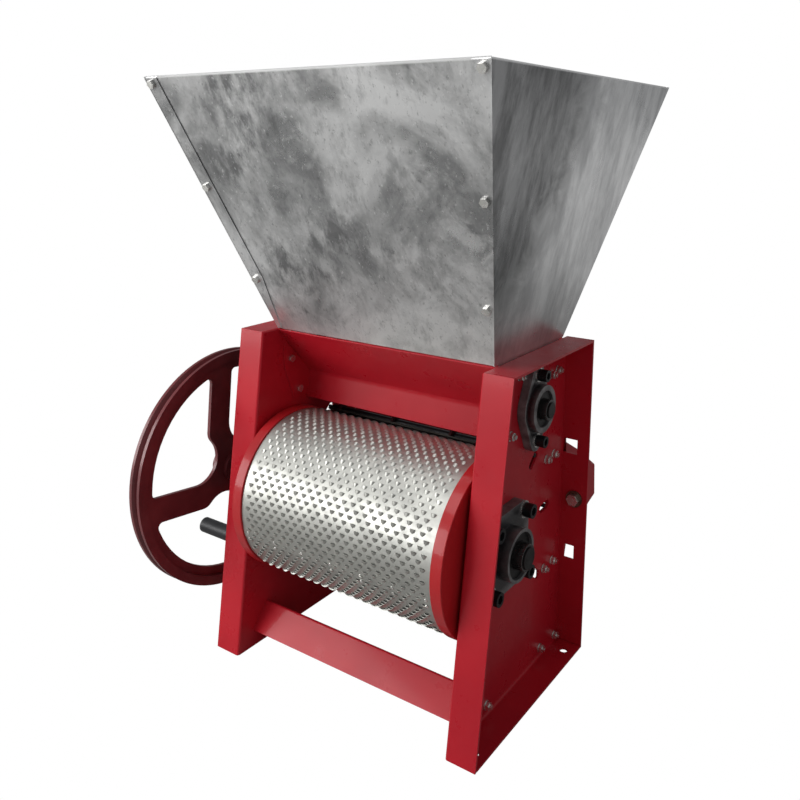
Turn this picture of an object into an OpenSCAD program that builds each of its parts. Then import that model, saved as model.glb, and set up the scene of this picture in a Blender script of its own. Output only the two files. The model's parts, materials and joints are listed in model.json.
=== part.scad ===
// Hand-cranked coffee pulper: a perforated drum between two flanged side plates,
// with a feed roller above it, an adjustable breast behind it and a sheet hopper on top.
// Origin: on the floor, at the centre of the four floor bolt holes.
// +X is the right side (bare bearings), -X the flywheel side, -Y the open front, +Z up.

/* [Side plates] */
// Height of the side plates
plate_h = 460; // [440:1:500]
// Depth of a side plate at the floor
base_depth = 303; // [290:1:330]
// How far the front edge leans back over its height
front_lean = 67.5; // [50:0.5:80]
// How far the rear edge leans forward over its height
rear_lean = 7; // [0:0.5:15]
// Clear width between the two webs
plate_gap = 348; // [330:1:380]
// Thickness of the plate steel
plate_t = 3; // [2:0.5:4]
// Width of the outward flanges, web included
flange_w = 42; // [34:1:50]
// Radius of the floor bolt holes
floor_hole_r = 5.5; // [4:0.5:7]
// Distance of the floor bolt holes from the outer edge of the flange
floor_hole_edge = 16; // [12:0.5:20]
// Distance of the floor bolt holes from the front and rear edges of the base
floor_hole_end = 26; // [20:1:35]

/* [Drum] */
// Distance of the drum axis below the top of the side plates
drum_drop = 236; // [230:1:240]
// Drum axis ahead of the middle of the base
drum_y = -39.5; // [-44:0.5:-35]
// Radius of the drum's end discs
disc_r = 117.5; // [112:0.5:119]
// Thickness of an end disc at its rim
disc_t = 16; // [10:1:20]
// Gap between an end disc and the web beside it
disc_gap = 5; // [4:0.5:8]
// Step from the disc's rim down to the perforated skin
skin_step = 2.5; // [1:0.5:4]
// Thickness of the perforated skin
skin_t = 1.5; // [1:0.25:2]
// Diameter of the drum shaft in its bearings
shaft_d = 28; // [26:1:30]
// Diameter of the drum shaft where it carries the pulley and the flywheel
shaft_end_d = 25; // [20:1:28]

/* [Drum bearings] */
// Bolt pitch of the square flange housing
drum_pitch = 82; // [78:1:88]
// Width of the square flange housing
drum_flange_w = 107; // [103:1:112]
// Thickness of its flange
drum_flange_t = 15; // [10:1:18]
// Height of its round boss above the web
drum_boss_h = 33; // [28:1:38]
// Radius of its round boss
drum_boss_r = 34; // [32:1:38]
// Outer radius of the bearing insert
drum_insert_r = 29.5; // [28:0.5:31]
// Bolt size of the drum bearings
drum_bolt_d = 12; // [8:1:12]

/* [Feed roller] */
// Distance of the feed roller's axis below the top of the side plates
feed_drop = 71; // [66:1:75]
// Feed roller's axis behind the middle of the base
feed_y = 35.5; // [32:0.5:40]
// Diameter of the feed shaft
feed_shaft_d = 20; // [16:1:22]
// Radius over the roller's vanes
roller_r = 21; // [17:0.5:23]
// Number of vanes
roller_vanes = 6; // [4:1:8]
// Bolt pitch of the two-bolt flange housing
feed_pitch = 87; // [82:1:92]
// Height of its round boss above the web
feed_boss_h = 22.5; // [20:0.5:26]
// Bolt size of the feed bearings
feed_bolt_d = 10; // [8:1:10]

/* [Drive] */
// Outer radius of the drum pulley
drum_pulley_r = 45; // [36:1:52]
// Outer radius of the feed pulley
feed_pulley_r = 36; // [30:1:44]
// Thickness of the belt
belt_t = 8; // [6:0.5:10]
// Width of the belt
belt_w = 12; // [9:0.5:14]

/* [Flywheel] */
// Outer radius of the flywheel
wheel_r = 183.5; // [175:0.5:190]
// Width of the rim
wheel_w = 21; // [18:1:26]
// Radial depth of the rim
rim_t = 14; // [12:1:18]
// Distance of the wheel's middle plane from the web
wheel_off = 114.5; // [105:0.5:120]
// Radius of the windows' inner ends
inner_r = 36.5; // [33:0.5:39]
// Radius of the windows' outer corners
corner_r = 7; // [5:1:10]
// Radius of the hub boss
hub_r = 24; // [21:1:28]
// How far the boss stands out of the wheel's middle plane
hub_out = 20; // [17:1:30]
// Width of a spoke
spoke_w = 38; // [34:1:42]
// How far a spoke's centreline passes beside the axis
spoke_shift = 36.5; // [34:0.5:39]
// Angle of the crank pin about the axis
crank_angle = 281; // [265:1:290]
// Distance of the crank pin inside the windows' outer radius
crank_inset = 13; // [12:1:20]
// Diameter of the crank pin
pin_d = 12; // [8:1:14]
// Radius of the grip
grip_r = 12.5; // [11.5:0.5:16]
// Length of the grip
grip_l = 89; // [80:1:120]

/* [Hopper] */
// Width of the hopper's mouth
mouth_w = 492; // [460:1:520]
// Front edge of the mouth ahead of the middle of the base
mouth_front = 204.5; // [190:1:215]
// Rear edge of the mouth behind the middle of the base
mouth_rear = 297; // [285:1:310]
// Height of the hopper above the side plates
hopper_h = 336; // [300:1:360]
// Front edge of the outlet ahead of the middle of the base
outlet_front = 53.5; // [48:0.5:58]
// Rear edge of the outlet behind the middle of the base
outlet_rear = 136; // [126:1:140]
// Thickness of the galvanised sheet
sheet_t = 1.2; // [0.8:0.1:1.6]
// Width of the folded strips that wrap over the front and rear sheets
strip_w = 22; // [18:1:28]

/* [Breast] */
// Gap between the discs and the breast plate
breast_gap = 6.5; // [5.5:0.5:8]
// Thickness of the breast plate
breast_t = 3; // [2:0.5:4]
// Angle of the breast's upper edge above the drum's axis
breast_top = 50; // [48:1:52]
// Angle of the breast's lower edge below the drum's axis
breast_low = 43; // [42:1:48]
// Diameter of the adjusting screws
screw_d = 10; // [8:1:12]

/* [Hidden] */
$fn = 64;

red = "#b3202c";
dark_red = "#5a1218";
zinc = "#b9bcbd";
galvanised = "#9a9c9b";
black = "#18181a";
steel = "#a8a5a0";

// Fits and shared clearances
eps = 0.01;
run_fit = 0.05;
bolt_play = 0.3;
web_in = plate_gap / 2;
web_out = web_in + plate_t;
flange_out = web_in + flange_w;
half_depth = base_depth / 2;
drum_z = plate_h - drum_drop;
feed_z = plate_h - feed_drop;

// Edges of a side plate in the YZ plane
function front_y(z) = -half_depth + front_lean * z / plate_h;
function rear_y(z) = half_depth - rear_lean * z / plate_h;
front_slant = sqrt(1 + pow(front_lean / plate_h, 2));
rear_slant = sqrt(1 + pow(rear_lean / plate_h, 2));

// Points given by a radius and an angle about the drum's axis
function about_drum(r, a) = [drum_y + r * cos(a), drum_z + r * sin(a)];

// A plate drawn in the YZ plane, from x0 to x1
module slab(x0, x1) {
  translate([x0, 0, 0]) rotate([90, 0, 90]) linear_extrude(x1 - x0) children();
}

// A round bar along X, from x0 to x1
module bar_x(r, x0, x1, y, z) {
  translate([x0, y, z]) rotate([0, 90, 0]) cylinder(r = r, h = x1 - x0);
}

// A round bar along Y, from y0 to y1
module bar_y(r, x, y0, y1, z) {
  translate([x, y0, z]) rotate([-90, 0, 0]) cylinder(r = r, h = y1 - y0);
}

// A ring along X
module ring_x(r_out, r_in, x0, x1, y, z) {
  difference() {
    bar_x(r_out, x0, x1, y, z);
    bar_x(r_in, x0 - 1, x1 + 1, y, z);
  }
}

// A hexagon prism along X, given across flats
module hex_x(flats, x0, x1, y, z) {
  translate([x0, y, z]) rotate([0, 90, 0]) cylinder(d = flats / cos(30), h = x1 - x0, $fn = 6);
}

// A hexagon prism along Y, given across flats
module hex_y(flats, x, y0, y1, z) {
  translate([x, y0, z]) rotate([-90, 0, 0]) cylinder(d = flats / cos(30), h = y1 - y0, $fn = 6);
}

// A hex nut along X
module nut_x(d, flats, x0, x1, y, z) {
  difference() {
    hex_x(flats, x0, x1, y, z);
    bar_x(d / 2 + run_fit, x0 - 1, x1 + 1, y, z);
  }
}

// Two circles and the straight sides between them
module capsule(p1, r1, p2, r2) {
  d = norm(p2 - p1);
  dir = atan2(p2[1] - p1[1], p2[0] - p1[0]);
  spread = acos((r1 - r2) / d);
  translate(p1) circle(r1);
  translate(p2) circle(r2);
  polygon([
    p1 + r1 * [cos(dir + spread), sin(dir + spread)],
    p1 + r1 * [cos(dir - spread), sin(dir - spread)],
    p2 + r2 * [cos(dir - spread), sin(dir - spread)],
    p2 + r2 * [cos(dir + spread), sin(dir + spread)]]);
}

// A band of even thickness along a bent line, in 2D
module band(points, t) {
  last = len(points) - 1;
  dirs = [for (i = [0:last - 1]) (points[i + 1] - points[i]) / norm(points[i + 1] - points[i])];
  sides = [for (d = dirs) [-d[1], d[0]]];
  inner = [for (i = [0:last])
    i == 0 ? points[0] + t * sides[0]
    : i == last ? points[last] + t * sides[last - 1]
    : points[i] + t * (sides[i - 1] + sides[i]) / (1 + sides[i - 1] * sides[i])];
  polygon(concat(points, [for (i = [last:-1:0]) inner[i]]));
}

// Mirrors a piece to both sides of the machine
module both_sides() {
  children();
  mirror([1, 0, 0]) children();
}

// Sheet bolts that fasten the inner pieces to the webs
m6_d = 6;
m6_flats = 10;
m6_head = 4;
m6_nut = 5;
m6_hole_r = m6_d / 2 + bolt_play;
washer_r = 6.5;
washer_t = 1.2;
thread_out = 3;

// Throat panels, seen from the side: a sloping chute and a lip down to the drum
panel_t = 2;
throat_depth = 74;
lip_h = 40;
roller_room = 25;
front_bend = [feed_y - roller_room - panel_t, plate_h - throat_depth];
front_lip = [front_bend[0] - 6, front_bend[1] - lip_h];
front_panel_line = [[-outlet_front, plate_h - 2], front_bend, front_lip];
rear_room = 28.5;
rear_bend = [feed_y + rear_room + panel_t, plate_h - 52];
rear_lip = [rear_bend[0] - 13, rear_bend[1] - 72];
rear_panel_line = [rear_lip, rear_bend, [outlet_rear, plate_h - 2]];
front_tab_bolts = [[front_bend[0] - 39.5, front_bend[1] + 26], [front_bend[0] - 24, front_bend[1] - 22.5]];
rear_tab_bolts = [[outlet_rear - 20.4, plate_h - 41], [outlet_rear - 39, plate_h - 43.3]];

// Hopper side sheets end in a skirt inside the webs
skirt_t = sheet_t;
skirt_low = plate_h - 52;
skirt_lap = 1;
skirt_bolt = [5.7, plate_h - 24.4];

// Lower rails
rail_t = 3;
rail_foot = [front_y(25) + 27.5, 25];
rail_crest = [rail_foot[0] + 29, 60];
rail_heel = [rail_crest[0] + 50, 14];
rail_bolts = [[rail_heel[0] - 18, rail_heel[1] + 3.5]];
rear_rail_y = rear_y(0) - 4.5;
rear_rail_z = [6, 30];
rear_rail_tab = 65;
rear_rail_bolts = [[rear_rail_y - 55, 16.5], [rear_rail_y - 8, 12.3]];

// Rear hood: cheeks inside the webs and a sloping cover between them
hood_t = 2;
hood_top = drum_z + 88;
hood_end = rear_y(0) + 128;
hood_line = [[rear_y(0) - 50, hood_top], [rear_y(0) - 8, hood_top], [rear_y(0) + 54, drum_z + 53],
  [hood_end - 5.3, drum_z + 7], [hood_end, drum_z - 43]];
hood_front = rear_y(0) - 67;
hood_low = drum_z - 106;
hood_pairs = [[rear_y(0) - 60.5, drum_z + 75], [rear_y(0) - 38, drum_z + 76],
  [rear_y(0) - 57, drum_z - 86.6], [rear_y(0) - 30.5, drum_z - 85.5]];
ear_z = [drum_z - 24, drum_z + 31];
ear_bolt_z = drum_z + 3.5;
ear_bolt_x = web_in + 23.5;
ear_bolt_d = 12;

// Breast: slots in the webs, rods and adjusting screws
breast_r = disc_r + breast_gap;
rod_angles = [43, 3, -37];
rod_d = 10;
rod_end_d = 6;
rib_h = 14;
rib_short = 2.2;
rib_seat = 0.25;
rod_r = breast_r + breast_t + 6.5;
slot_w = 12;
slot_ends = [[118, 134], [123, 139], [126, 146]];
rib_x = [50, 150];
rib_t = 4;
screw_x = 150;
screw_z = about_drum(rod_r, rod_angles[1])[1];
lug_y = about_drum(rod_r, rod_angles[1])[0] + 16;
lug_t = 6;
lug_w = 16;
lug_h = 26;
neck_t = 6;
neck_reach = 12;
clip_room = 6;
bar_y0 = lug_y + lug_t + 12;
bar_t = 6;
journal_d = screw_d - 2;

// Every bolt through a web: place, and thickness of the sheet that it holds inside
web_bolts = concat(
  [for (p = front_tab_bolts) [p, panel_t]],
  [for (p = rear_tab_bolts) [p, panel_t]],
  [[skirt_bolt, skirt_t]],
  [for (p = rail_bolts) [p, rail_t]],
  [for (p = rear_rail_bolts) [p, rail_t]],
  [for (p = hood_pairs) [p, hood_t]]);

// Bearing studs about their axes
drum_studs = [for (a = [-1, 1], b = [-1, 1]) [drum_y + a * drum_pitch / 2, drum_z + b * drum_pitch / 2]];
feed_studs = [for (b = [-1, 1]) [feed_y, feed_z + b * feed_pitch / 2]];
feed_boss_r = 31;
feed_flange_t = 12;
feed_insert_r = 23.5;
feed_end_r = 15;

module plate_outline(inset) {
  top = plate_h - inset;
  polygon([
    [front_y(inset) + inset * front_slant, inset],
    [rear_y(inset) - inset * rear_slant, inset],
    [rear_y(top) - inset * rear_slant, top],
    [front_y(top) + inset * front_slant, top]]);
}

// Slots that the ends of the breast's rods slide in
module breast_slots() {
  for (i = [0:len(rod_angles) - 1]) {
    a = rod_angles[i];
    capsule(about_drum(slot_ends[i][0], a), slot_w / 2, about_drum(slot_ends[i][1], a), slot_w / 2);
  }
}

// Web with every hole and slot that passes through it
shaft_room = 6;
module web_holes() {
  translate([drum_y, drum_z]) circle(shaft_d / 2 + shaft_room);
  translate([feed_y, feed_z]) circle(feed_shaft_d / 2 + shaft_room);
  for (p = drum_studs) translate(p) circle(drum_bolt_d / 2 + bolt_play);
  for (p = feed_studs) translate(p) circle(feed_bolt_d / 2 + bolt_play);
  for (b = web_bolts) translate(b[0]) circle(m6_hole_r);
  breast_slots();
}

// Slits where the four flanges meet at the corners
slit_w = 1.2;
module corner_slits() {
  slit_x = web_out + 3;
  for (z = [-1, plate_h - plate_t - 1]) {
    for (front = [true, false]) {
      y = front ? front_y(z) + plate_t * front_slant : rear_y(z) - plate_t * rear_slant - slit_w;
      translate([slit_x, y, z]) cube([flange_w, slit_w, plate_t + 2]);
    }
  }
}

// Windows in the rear flange
window_h = 21;
window_upper = [web_out + eps, web_out + 22, drum_z + 69.5];
window_lower = [web_out + 7.5, web_out + 22.5, drum_z - 89.5];
module side_plate() {
  difference() {
    union() {
      slab(web_in, web_out) difference() {
        plate_outline(0);
        web_holes();
      }
      slab(web_in, flange_out) difference() {
        plate_outline(0);
        plate_outline(plate_t);
      }
    }
    corner_slits();
    for (w = [window_upper, window_lower]) {
      translate([w[0], rear_y(w[2]) - 15, w[2]]) cube([w[1] - w[0], 30, window_h]);
    }
    bar_y(ear_bolt_d / 2 + bolt_play, ear_bolt_x, rear_y(0) - 30, rear_y(0) + 10, ear_bolt_z);
    for (y = [-1, 1]) {
      translate([flange_out - floor_hole_edge, y * (half_depth - floor_hole_end), -1])
        cylinder(r = floor_hole_r, h = plate_t + 2);
    }
  }
}

module side_plate_right() color(red) side_plate();
module side_plate_left() color(red) mirror([1, 0, 0]) side_plate();

// Sheet metal panels between the webs, with end tabs bolted to them
module panel_holes(bolts) {
  for (p = bolts) {
    bar_x(m6_hole_r, -web_out, web_out, p[0], p[1]);
  }
}

module throat_front_panel() color(red) difference() {
  union() {
    slab(-web_in, web_in) band(front_panel_line, panel_t);
    both_sides() slab(web_in - panel_t, web_in) polygon([
      front_bend + [-49, 52], front_bend + [-54, 40], front_bend + [-52, 12],
      front_bend + [-35, -34], front_lip + [1, 4], front_bend + [1, 0]]);
  }
  panel_holes(front_tab_bolts);
}

module throat_rear_panel() color(red) difference() {
  union() {
    slab(-web_in, web_in) band(rear_panel_line, panel_t);
    both_sides() slab(web_in - panel_t, web_in) polygon([
      [outlet_rear - 7, plate_h - 6], [outlet_rear - 7, plate_h - 56], rear_bend + [16, -20],
      rear_bend + [-4, -20], rear_bend + [0, 1]]);
  }
  panel_holes(rear_tab_bolts);
}

module front_lower_rail() color(red) difference() {
  union() {
    slab(-web_in, web_in) band([rail_heel, rail_crest, rail_foot], rail_t);
    both_sides() slab(web_in - rail_t, web_in) polygon([
      rail_foot + [3, -1], rail_crest + [0, -1], rail_heel + [1, 0], rail_heel + [-14, -7]]);
  }
  panel_holes(rail_bolts);
}

module rear_lower_rail() color(red) difference() {
  union() {
    translate([-web_in, rear_rail_y, rear_rail_z[0]])
      cube([2 * web_in, rail_t, rear_rail_z[1] - rear_rail_z[0]]);
    both_sides() slab(web_in - rail_t, web_in) polygon([
      [rear_rail_y + eps, rear_rail_z[0]], [rear_rail_y + eps, rear_rail_z[1]],
      [rear_rail_y - rear_rail_tab, rear_rail_z[1] - 4], [rear_rail_y - rear_rail_tab, rear_rail_z[0]]]);
  }
  panel_holes(rear_rail_bolts);
}

// Ears of the hood lie behind the rear flanges
module hood_ear() {
  slab(web_in - hood_t, flange_out - 2) polygon([
    [rear_y(ear_z[0]), ear_z[0]], [rear_y(ear_z[1]), ear_z[1]],
    [rear_y(ear_z[1]) + hood_t, ear_z[1]], [rear_y(ear_z[0]) + hood_t, ear_z[0]]]);
}

module rear_hood() color(dark_red) difference() {
  union() {
    slab(-web_in, web_in) band([for (i = [len(hood_line) - 1:-1:0]) hood_line[i]], hood_t);
    both_sides() {
      slab(web_in - hood_t, web_in) polygon(concat(
        [[hood_front, hood_top]], hood_line,
        [[hood_end - 23.5, drum_z - 50], [rear_y(0) + 26, drum_z - 86], [rear_y(0) + 21, hood_low],
          [hood_front, hood_low]]));
      hood_ear();
    }
  }
  panel_holes(hood_pairs);
  both_sides() {
    bar_y(ear_bolt_d / 2 + bolt_play, ear_bolt_x, rear_y(0) - 30, rear_y(0) + 10, ear_bolt_z);
    slab(web_in - hood_t - 1, web_in + 1) breast_slots();
  }
}

// Cross bar behind the breast that the adjusting screws turn in
bar_z = [screw_z - 13, screw_z + 13];
module adjuster_bar() color(dark_red) difference() {
  translate([-web_in + hood_t, bar_y0, bar_z[0]])
    cube([2 * (web_in - hood_t), bar_t, bar_z[1] - bar_z[0]]);
  for (s = [-1, 1]) bar_y(screw_d / 2 + 3 * run_fit, s * screw_x, bar_y0 - 1, bar_y0 + bar_t + 1, screw_z);
}

locknut_t = 6;
module adjuster_locknuts() color(zinc) for (s = [-1, 1]) {
  difference() {
    hex_y(screw_d * 1.7, s * screw_x, bar_y0 + bar_t, bar_y0 + bar_t + locknut_t, screw_z);
    bar_y(screw_d / 2 + 3 * run_fit, s * screw_x, bar_y0, bar_y0 + bar_t + locknut_t + 1, screw_z);
  }
}

module frame_bolts() color(zinc) both_sides() for (b = web_bolts) {
  face = web_in - b[1];
  union() {
    hex_x(m6_flats, face - m6_head, face, b[0][0], b[0][1]);
    bar_x(m6_d / 2, face - eps, web_out + washer_t + m6_nut + thread_out, b[0][0], b[0][1]);
  }
}

module frame_nuts() color(zinc) both_sides() for (b = web_bolts) {
  nut_x(m6_d, m6_flats, web_out + washer_t, web_out + washer_t + m6_nut, b[0][0], b[0][1]);
}

module frame_washers() color(zinc) both_sides() for (b = web_bolts) {
  ring_x(washer_r, m6_hole_r, web_out, web_out + washer_t, b[0][0], b[0][1]);
}

// Hood bolts along Y, head on the front face of the rear flange
hood_washer_t = 2.5;
hood_head_h = 6;
hood_bolt_flats = 15.5;
hood_nut_flats = 18;
hood_washer_r = 12;
hood_nut_t = 10;
ear_front = rear_y(ear_bolt_z) - plate_t * rear_slant;
ear_back = rear_y(ear_bolt_z) + hood_t;
ear_slope_play = 0.2;
module hood_bolts() color(zinc) both_sides() union() {
  hex_y(hood_bolt_flats, ear_bolt_x, ear_front - ear_slope_play - hood_washer_t - hood_head_h,
    ear_front - ear_slope_play - hood_washer_t, ear_bolt_z);
  bar_y(ear_bolt_d / 2, ear_bolt_x, ear_front - ear_slope_play - hood_washer_t - eps,
    ear_back + hood_nut_t + 4, ear_bolt_z);
}

module hood_nuts() color(zinc) both_sides() difference() {
  hex_y(hood_nut_flats, ear_bolt_x, ear_back + ear_slope_play, ear_back + ear_slope_play + hood_nut_t,
    ear_bolt_z);
  bar_y(ear_bolt_d / 2 + run_fit, ear_bolt_x, ear_back - 1, ear_back + hood_nut_t + 2, ear_bolt_z);
}

module hood_washers() color(zinc) both_sides() difference() {
  bar_y(hood_washer_r, ear_bolt_x, ear_front - ear_slope_play - hood_washer_t, ear_front - ear_slope_play,
    ear_bolt_z);
  bar_y(ear_bolt_d / 2 + bolt_play, ear_bolt_x, ear_front - 10, ear_front + 1, ear_bolt_z);
}

// Hopper: each sheet is drawn flat, then leaned into place
mouth_x = mouth_w / 2;
outlet_x = web_in;
side_run = norm([mouth_x - outlet_x, hopper_h]);
front_run = norm([mouth_front - outlet_front, hopper_h]);
rear_run = norm([mouth_rear - outlet_rear, hopper_h]);
side_lean = atan2(mouth_x - outlet_x, hopper_h);
front_angle = atan2(mouth_front - outlet_front, hopper_h);
rear_angle = atan2(mouth_rear - outlet_rear, hopper_h);
sheet_gap = 0.05;
side_inset = (sheet_t + sheet_gap) / cos(side_lean) + 0.15;
strip_low = 84;
strip_end = 1.5;
fold_lap = 0.4;

// Places a flat drawing (x across, y up the slope) on the front or rear face, depth inward
module on_front(depth, t) {
  translate([0, -outlet_front, plate_h]) rotate([90 + front_angle, 0, 0])
    translate([0, 0, -depth - t]) linear_extrude(t) children();
}
module on_rear(depth, t) {
  translate([0, outlet_rear, plate_h]) rotate([90 - rear_angle, 0, 0])
    translate([0, 0, depth]) linear_extrude(t) children();
}

module end_sheet(run) {
  polygon([
    [-outlet_x + side_inset, 0], [outlet_x - side_inset, 0],
    [mouth_x - side_inset, run], [-mouth_x + side_inset, run]]);
}

module end_strip(run) {
  slope = (mouth_x - outlet_x) / run;
  edge_low = outlet_x - fold_lap + slope * strip_low;
  polygon([
    [outlet_x - fold_lap + slope * strip_end, strip_end],
    [mouth_x - fold_lap - slope * strip_end, run - strip_end],
    [mouth_x - strip_w, run - strip_end], [edge_low - strip_w, strip_low], [edge_low - strip_w, strip_end]]);
}

// Bolt places along a strip, on a slope of the given length
hopper_bolt_s = [0.22, 0.595, 0.975];
strip_hole_edge = 9;
function strip_x(run, s) = outlet_x + (mouth_x - outlet_x) * s - strip_hole_edge;
module strip_holes(run) {
  for (s = hopper_bolt_s, m = [-1, 1]) translate([m * strip_x(run, s), s * run]) circle(m6_hole_r);
}

module hopper_front() color(galvanised) on_front(sheet_t + sheet_gap, sheet_t) difference() {
  end_sheet(front_run);
  strip_holes(front_run);
}

module hopper_rear() color(galvanised) on_rear(sheet_t + sheet_gap, sheet_t) difference() {
  end_sheet(rear_run);
  strip_holes(rear_run);
}

module hopper_side() {
  difference() {
    union() {
      translate([outlet_x, 0, plate_h]) rotate([90, 0, 90]) rotate([side_lean, 0, 0])
        translate([0, 0, -sheet_t]) linear_extrude(sheet_t) polygon([
          [-outlet_front - fold_lap, 0], [outlet_rear + fold_lap, 0],
          [mouth_rear + fold_lap, side_run], [-mouth_front - fold_lap, side_run]]);
      on_front(0, sheet_t) difference() {
        end_strip(front_run);
        strip_holes(front_run);
      }
      on_rear(0, sheet_t) difference() {
        end_strip(rear_run);
        strip_holes(rear_run);
      }
      slab(web_in - skirt_t, web_in) polygon([
        [-outlet_front + 8, plate_h + skirt_lap], [outlet_rear - 8, plate_h + skirt_lap],
        [rear_bend[0] + 17, skirt_low + 18], [rear_bend[0] - 4, skirt_low + 6],
        [front_bend[0] - 6, skirt_low + 6]]);
    }
    bar_x(m6_hole_r, web_in - 5, web_out, skirt_bolt[0], skirt_bolt[1]);
    bar_x(feed_bolt_d, web_in - 5, web_out, feed_y, feed_z + feed_pitch / 2);
  }
}

module hopper_side_right() color(galvanised) hopper_side();
module hopper_side_left() color(galvanised) mirror([1, 0, 0]) hopper_side();

// Small hex bolts with their heads outside, nuts inside
hopper_head = 4;
module strip_fastener(head) {
  stack = 2 * sheet_t + sheet_gap;
  if (head) {
    cylinder(d = m6_flats / cos(30), h = hopper_head, $fn = 6);
    translate([0, 0, -stack - m6_nut - 2]) cylinder(d = m6_d, h = stack + m6_nut + 2 + eps);
  } else {
    translate([0, 0, -stack - m6_nut]) difference() {
      cylinder(d = m6_flats / cos(30), h = m6_nut, $fn = 6);
      translate([0, 0, -1]) cylinder(r = m6_d / 2 + run_fit, h = m6_nut + 2);
    }
  }
}

module hopper_fasteners(head) {
  for (s = hopper_bolt_s, m = [-1, 1]) {
    translate([0, -outlet_front, plate_h]) rotate([90 + front_angle, 0, 0])
      translate([m * strip_x(front_run, s), s * front_run, 0]) strip_fastener(head);
    translate([0, outlet_rear, plate_h]) rotate([90 - rear_angle, 0, 0])
      translate([m * strip_x(rear_run, s), s * rear_run, 0]) mirror([0, 0, 1]) strip_fastener(head);
  }
}

module hopper_bolts() color(zinc) hopper_fasteners(true);
module hopper_nuts() color(zinc) hopper_fasteners(false);

// Drum
disc_out = web_in - disc_gap;
skin_half = disc_out - disc_t;
skin_r = disc_r - skin_step;
spigot_l = 8;
disc_hub_r = 34;
disc_hub_l = 30;
module drum_skin() color(steel) ring_x(skin_r, skin_r - skin_t, -skin_half, skin_half, drum_y, drum_z);

module drum_disc() {
  difference() {
    union() {
      bar_x(disc_r, skin_half, disc_out, drum_y, drum_z);
      bar_x(skin_r - skin_t - run_fit, skin_half - spigot_l, skin_half + eps, drum_y, drum_z);
      bar_x(disc_hub_r, disc_out - disc_hub_l, disc_out, drum_y, drum_z);
    }
    difference() {
      bar_x(skin_r - skin_t - 10, skin_half - spigot_l - 1, skin_half + disc_t / 2, drum_y, drum_z);
      bar_x(disc_hub_r, skin_half - spigot_l - 2, skin_half + disc_t, drum_y, drum_z);
    }
    bar_x(shaft_d / 2 + run_fit, 0, web_out, drum_y, drum_z);
  }
}
module drum_disc_right() color(red) drum_disc();
module drum_disc_left() color(red) mirror([1, 0, 0]) drum_disc();

// Rivets of the skin's lap seam, in pairs across the seam
seam_angle = 196;
seam_pairs = 7;
rivet_r = 2.2;
rivet_h = 1.2;
module drum_seam_rivets() color(zinc) {
  pitch = 2 * (skin_half - 8) / (seam_pairs - 1);
  for (i = [0:seam_pairs - 1], a = [-2.2, 2.2]) {
    translate([-skin_half + 8 + i * pitch, drum_y, drum_z]) rotate([seam_angle + a - 90, 0, 0])
      translate([0, 0, skin_r - 0.02]) cylinder(r = rivet_r, h = rivet_h);
  }
}

// Drum bearings
drum_ring_out = 11.5;
drum_inner_r = shaft_d / 2 + 3.2;
shaft_right = web_out + drum_boss_h + drum_ring_out;
wheel_x = web_out + wheel_off;
shaft_left = wheel_x + hub_out - 4;
module drum_shaft() color(steel) difference() {
  union() {
    bar_x(shaft_d / 2, -shaft_right, shaft_right, drum_y, drum_z);
    bar_x(shaft_end_d / 2, -shaft_left, -shaft_right + eps, drum_y, drum_z);
  }
  translate([-shaft_left - 1, drum_y - key_w / 2, drum_z + shaft_end_d / 2 - key_h / 2])
    cube([key_l + 1, key_w, key_h]);
}

module rounded_square(w, r) {
  square([w, w - 2 * r], center = true);
  square([w - 2 * r, w], center = true);
  for (a = [-1, 1], b = [-1, 1]) translate([a, b] * (w / 2 - r)) circle(r);
}

module drum_housing() {
  round_r = (drum_flange_w - drum_pitch) / 2 + 4;
  difference() {
    union() {
      slab(web_out, web_out + drum_flange_t) translate([drum_y, drum_z])
        rounded_square(drum_flange_w, round_r);
      bar_x(drum_boss_r, web_out + drum_flange_t - eps, web_out + drum_boss_h, drum_y, drum_z);
    }
    bar_x(drum_insert_r + run_fit, web_out - 1, web_out + drum_boss_h + 1, drum_y, drum_z);
    for (p = drum_studs)
      bar_x(drum_bolt_d / 2 + 2 * bolt_play, web_out - 1, web_out + drum_flange_t + 1, p[0], p[1]);
  }
}
module drum_bearing_housing_right() color(black) drum_housing();
module drum_bearing_housing_left() color(black) mirror([1, 0, 0]) drum_housing();

insert_l = 18;
module drum_bearing_outer_rings() color(steel) both_sides()
  ring_x(drum_insert_r, drum_inner_r + 0.3, web_out + drum_boss_h - 4 - insert_l, web_out + drum_boss_h - 4,
    drum_y, drum_z);
module drum_bearing_inner_rings() color(steel) both_sides()
  ring_x(drum_inner_r, shaft_d / 2 + run_fit, web_out + 6, shaft_right - 2, drum_y, drum_z);

// Socket screws from outside, with thin nuts inside the web
screw_head_h = 12;
screw_head_k = 0.77;
module web_screw(d, p, flange_t) {
  face = web_out + flange_t + washer_t;
  difference() {
    union() {
      bar_x(d * screw_head_k, face, face + screw_head_h, p[0], p[1]);
      bar_x(d / 2, web_in - thin_nut_t, face + eps, p[0], p[1]);
    }
    hex_x(d * 0.83, face + screw_head_h / 2, face + screw_head_h + 1, p[0], p[1]);
  }
}
thin_nut_t = 3.5;
nut_flats = 1.6;
module drum_bearing_screws() color(black) both_sides()
  for (p = drum_studs) web_screw(drum_bolt_d, p, drum_flange_t);
module drum_bearing_nuts() color(black) both_sides()
  for (p = drum_studs) nut_x(drum_bolt_d, drum_bolt_d * nut_flats, web_in - thin_nut_t, web_in, p[0], p[1]);
module drum_bearing_washers() color(zinc) both_sides() for (p = drum_studs) {
  x0 = web_out + drum_flange_t;
  ring_x(drum_bolt_d * 0.95, drum_bolt_d / 2 + bolt_play, x0, x0 + washer_t, p[0], p[1]);
}

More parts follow.
